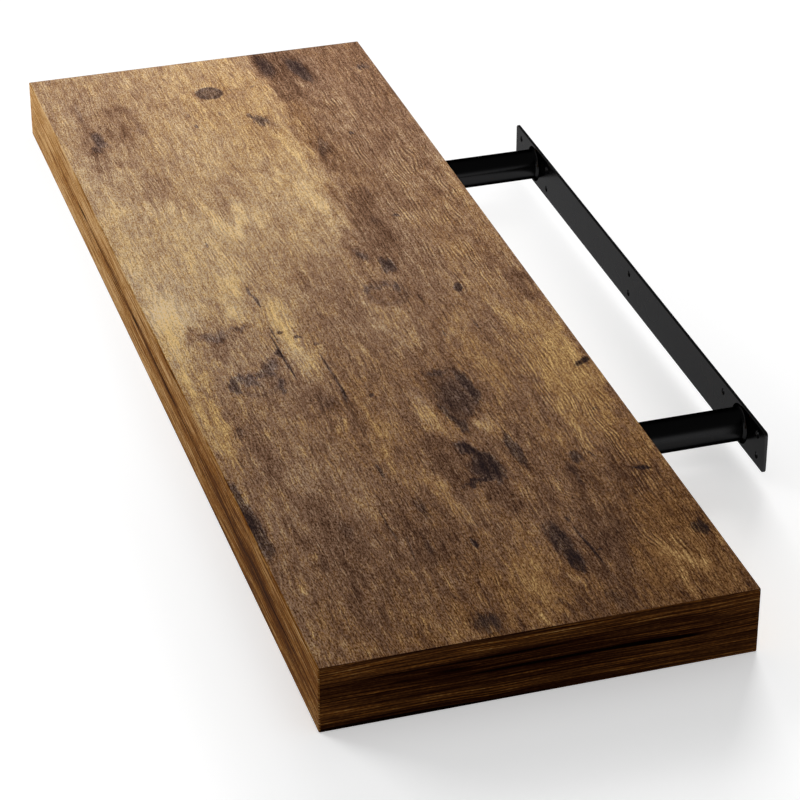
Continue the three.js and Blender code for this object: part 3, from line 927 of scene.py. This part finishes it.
class SHELF_OT_make_bracket(bpy.types.Operator):
    """Builds the bracket's wall plate, tubes and welds with their coated edges"""

    bl_idname = "shelf.make_bracket"
    bl_label = "Make bracket"

    def execute(self, context):
        sizes = context.scene.shelf_sizes
        colours = context.scene.shelf_colours
        flat_coat = make_steel_finish("black_coat_flat", colours.steel, FLAT_EDGE_TINT)
        # The round coat is a darker copy of the flat one, with less mirror at a low angle: painted shade on
        # the tubes and welds.
        coat = make_steel_finish("black_coat_round", colours.tube, SHADED_ROUND_EDGE_TINT)
        add_piece(self.plate(sizes), "coated_plate", "bracket", "wall_plate", flat_coat)
        for side in SIDES:
            for kind, build in (("tube", self.tube), ("weld", self.weld)):
                node = "%s_%s" % (side, kind)
                add_piece(build(sizes, node), "coated_" + node, "bracket", node, coat, False)
        return {"FINISHED"}

    @staticmethod
    def plate(sizes):
        """A flat bar with round corners and ten holes, its coat rounded over every edge."""
        half_length = (PLATE_HIGH.x - PLATE_LOW.x) / 2
        half_height = (PLATE_HIGH.z - PLATE_LOW.z) / 2

        def outline(inset, y):
            radius = sizes.plate_corner - inset
            points = []
            for quarter in range(4):
                turn = quarter * math.pi / 2
                centre_x = (half_length - sizes.plate_corner) * (1 if quarter in (0, 3) else -1)
                centre_z = (half_height - sizes.plate_corner) * (1 if quarter in (0, 1) else -1)
                for angle in quarter_turn(CORNER_STEPS):
                    x = centre_x + radius * math.cos(turn + angle)
                    z = centre_z + radius * math.sin(turn + angle)
                    points.append((x, y, z))
            return points

        def hole(x, z):
            def rim(inset, y):
                radius = sizes.screw_hole / 2 + inset
                angles = [2 * math.pi * step / HOLE_STEPS for step in range(HOLE_STEPS)]
                return [(x + radius * math.cos(a), y, z + radius * math.sin(a)) for a in angles]

            return rim

        columns = (-sizes.outer_columns, -sizes.inner_columns, 0, sizes.inner_columns, sizes.outer_columns)
        rows = (-sizes.screw_row_spacing, sizes.screw_row_spacing)
        rims = [outline] + [hole(column / 2, row / 2) for column in columns for row in rows]

        arris = sizes.plate_arris
        quarter = quarter_turn(RIM_STEPS)
        front = [(arris * (1 - math.sin(a)), PLATE_LOW.y + arris * (1 - math.cos(a))) for a in quarter]
        back = [(inset, PLATE_HIGH.y + PLATE_LOW.y - y) for inset, y in reversed(front)]
        bm = bmesh.new()
        first, last = [], []
        for rim in rims:
            rings = [ring_of(bm, rim(inset, y)) for inset, y in front + back]
            for one, two in zip(rings, rings[1:]):
                join_rings(bm, one, two)
            first += rings[0]
            last += rings[-1]
        for loop in (first, last):
            members = set(loop)
            edges = [edge for edge in bm.edges if edge.verts[0] in members and edge.verts[1] in members]
            bmesh.ops.triangle_fill(bm, use_beauty=True, use_dissolve=False, edges=edges)
        return bm

    @staticmethod
    def tube(sizes, node):
        """A tube that stands out from the plate, with a rounded rim at its open free end."""
        low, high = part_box(node)
        bore = TUBE_RADIUS - sizes.tube_wall
        rim = sizes.tube_rim
        tip = low.y
        quarter = quarter_turn(RIM_STEPS)
        outer_rim = [(TUBE_RADIUS - rim * (1 - math.cos(a)), tip + rim * (1 - math.sin(a))) for a in quarter]
        inner_rim = [(bore + rim * (1 - math.sin(a)), tip + rim * (1 - math.cos(a))) for a in quarter]
        profile = [(TUBE_RADIUS, high.y), *outer_rim, *inner_rim, (bore, high.y)]
        bm = bmesh.new()
        lathe(bm, profile, (low.x + high.x) / 2, sizes.lathe_steps)
        return bm

    @staticmethod
    def weld(sizes, node):
        """A hollow fillet round a tube's root, with faint ripples from the run of the weld."""
        low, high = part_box(node)
        root = high.y
        hollow = [
            (TUBE_RADIUS + WELD_LEG * (1 - math.cos(a)), root - WELD_LEG * (1 - math.sin(a)))
            for a in quarter_turn(WELD_STEPS)
        ]

        def ripple(turn, radius):
            swell = (radius - TUBE_RADIUS) * (TUBE_RADIUS + WELD_LEG - radius) / (WELD_LEG / 2) ** 2
            return radius + sizes.weld_ripple * swell * math.sin(WELD_RIPPLES * turn)

        bm = bmesh.new()
        lathe(bm, [(TUBE_RADIUS, root), *hollow], (low.x + high.x) / 2, sizes.lathe_steps, ripple)
        return bm


# Half the side of the floor, in metres
FLOOR_HALF = 20
# Where the floor's glow goes over from left to right, and what it gains in front of the shelf
GLOW_ALONG = (-300, 560)
GLOW_IN_FRONT = (-430, -386, 0.2, 0.0)
# How far from the board's middle the floor goes over to plain white
FAR_OFF = (805, 1190)
# How much the floor answers light, to even out the key light: a share for each metre from its foot, what that
# starts from, and the answer of a floor without glow
ANSWER_PER_METRE = 0.96
ANSWER_START = -0.196
ANSWER_FULL = 1.06
# Heights in the sky where its white horizon goes over to the ceiling, as lit and as mirrored
SKY_LIT = (0.0, 0.25)
SKY_MIRRORED = (0.15, 0.5)


class SHELF_OT_set_stage(bpy.types.Operator):
    """Sets the white floor, the soft light and the camera"""

    bl_idname = "shelf.set_stage"
    bl_label = "Set stage"

    def execute(self, context):
        studio = context.scene.studio
        self.lay_floor(context.scene)
        self.light(context.scene, studio)
        self.aim_camera(context.scene, studio)
        context.scene.view_settings.view_transform = "Standard"
        return {"FINISHED"}

    @staticmethod
    def lay_floor(scene):
        """A floor that lights the shelf as matt white, and that the eye sees as white with soft shadows."""
        finish = Finish("white_floor")
        studio = scene.studio
        place = finish.place(PER_MM, (0, 0, 0))
        along, deep, _ = finish.axes(place)
        glow = along.ramp(*GLOW_ALONG, studio.floor_glow, studio.floor_glow_right) + deep.ramp(*GLOW_IN_FRONT)
        lamp_x, lamp_y, _ = [value / MM for value in studio.key_place]
        metres_off = finish.spot(place, lamp_x, lamp_y, 1 / MM, 1 / MM)
        far_off = finish.spot(place, 0, BOARD_MIDDLE.y / MM, 1, 1).ramp(*FAR_OFF)
        shown = (metres_off * ANSWER_PER_METRE + ANSWER_START) * (ANSWER_FULL - glow) * (1 - far_off)
        glow = glow + (1 - glow) * far_off
        path = finish.node("LightPath", {}, (), output="Is Camera Ray").socket.node.outputs
        seen = sum(Wire(finish, path["Is %s Ray" % kind]) for kind in ("Camera", "Glossy", "Transmission"))
        seen = seen.clipped()
        finish.surface(
            base_color=finish.blend(seen, solid_colour(scene.shelf_colours.floor), finish.grey(shown)),
            emission_color=finish.grey(glow * seen),
            emission_strength=1.0,
            roughness=0.9,
            specular_ior_level=0.0,
        )
        mesh = bpy.data.meshes.new("floor")
        corners = [(x * FLOOR_HALF, y * FLOOR_HALF) for x, y in ((-1, -1), (1, -1), (1, 1), (-1, 1))]
        bm = bmesh.new()
        bm.faces.new([bm.verts.new((x, y, BOARD_BOTTOM)) for x, y in corners])
        bm.to_mesh(mesh)
        bm.free()
        mesh.materials.append(finish.made)
        floor = bpy.data.objects.new("floor", mesh)
        scene.collection.objects.link(floor)

    @staticmethod
    def light(scene, studio):
        """A white horizon under a dim ceiling, and three soft lamps that don't show in the gloss."""
        sky = Finish("studio_sky", "worlds")
        _, _, height = sky.axes(sky.node("TexCoord", {}, (), output="Generated"))
        path = sky.node("LightPath", {}, (), output="Is Camera Ray").socket.node.outputs
        lit = height.ramp(*SKY_LIT, 1.0, studio.ceiling_strength)
        mirrored = height.ramp(*SKY_MIRRORED, 1.0, studio.ceiling_mirrored)
        plain = lit + (mirrored - lit) * Wire(sky, path["Is Glossy Ray"])
        strength = plain + (1.0 - plain) * Wire(sky, path["Is Camera Ray"])
        sky.node("OutputWorld", {}, (sky.node("Background", {}, {"Color": WHITE, "Strength": strength}),))
        scene.world = sky.made
        for name in ("key", "overhead", "fill"):
            light = bpy.data.lights.new(name, "AREA")
            light.energy = getattr(studio, name + "_power")
            light.size = getattr(studio, name + "_size")
            lamp = bpy.data.objects.new(name, light)
            lamp.location = getattr(studio, name + "_place")
            lamp.rotation_euler = (lamp.location - BOARD_MIDDLE).to_track_quat("Z", "Y").to_euler()
            lamp.visible_glossy = False
            scene.collection.objects.link(lamp)

    @staticmethod
    def aim_camera(scene, studio):
        """A camera on a sphere about the point that it looks at."""
        azimuth, elevation = studio.camera_azimuth, studio.camera_elevation
        back = Vector(
            (
                math.sin(azimuth) * math.cos(elevation),
                -math.cos(azimuth) * math.cos(elevation),
                math.sin(elevation),
            )
        )
        target = BOARD_MIDDLE + Vector((studio.camera_aim_along, studio.camera_aim_in, 0))
        camera = bpy.data.objects.new("camera", bpy.data.cameras.new("camera"))
        camera.data.lens = studio.camera_lens
        camera.location = target + back * studio.camera_distance
        camera.rotation_euler = (-back).to_track_quat("-Z", "Y").to_euler()
        scene.collection.objects.link(camera)
        scene.camera = camera


class SHELF_PT_panel(bpy.types.Panel):
    """Lists the shelf's tools"""

    bl_idname = "SHELF_PT_panel"
    bl_label = "Floating shelf"
    bl_space_type = "VIEW_3D"
    bl_region_type = "UI"
    bl_category = "Shelf"

    def draw(self, context):
        for operator in OPERATORS:
            self.layout.operator(operator.bl_idname)


GROUPS = {"shelf_sizes": ShelfSizes, "shelf_colours": ShelfColours, "studio": StudioSettings}
OPERATORS = (
    SHELF_OT_lay_faces, SHELF_OT_band_edges, SHELF_OT_finish_core, SHELF_OT_make_bracket, SHELF_OT_set_stage,
)


def register():
    for group in GROUPS.values():
        bpy.utils.register_class(group)
    for name, group in GROUPS.items():
        setattr(bpy.types.Scene, name, PointerProperty(type=group))
    for operator in OPERATORS:
        bpy.utils.register_class(operator)
    bpy.utils.register_class(SHELF_PT_panel)


def unregister():
    bpy.utils.unregister_class(SHELF_PT_panel)
    for operator in OPERATORS:
        bpy.utils.unregister_class(operator)
    for name in GROUPS:
        delattr(bpy.types.Scene, name)
    for group in GROUPS.values():
        bpy.utils.unregister_class(group)


def main():
    register()
    bpy.ops.shelf.set_stage()
    bpy.ops.shelf.lay_faces()
    bpy.ops.shelf.band_edges()
    bpy.ops.shelf.finish_core()
    bpy.ops.shelf.make_bracket()


if __name__ == "__main__":
    main()
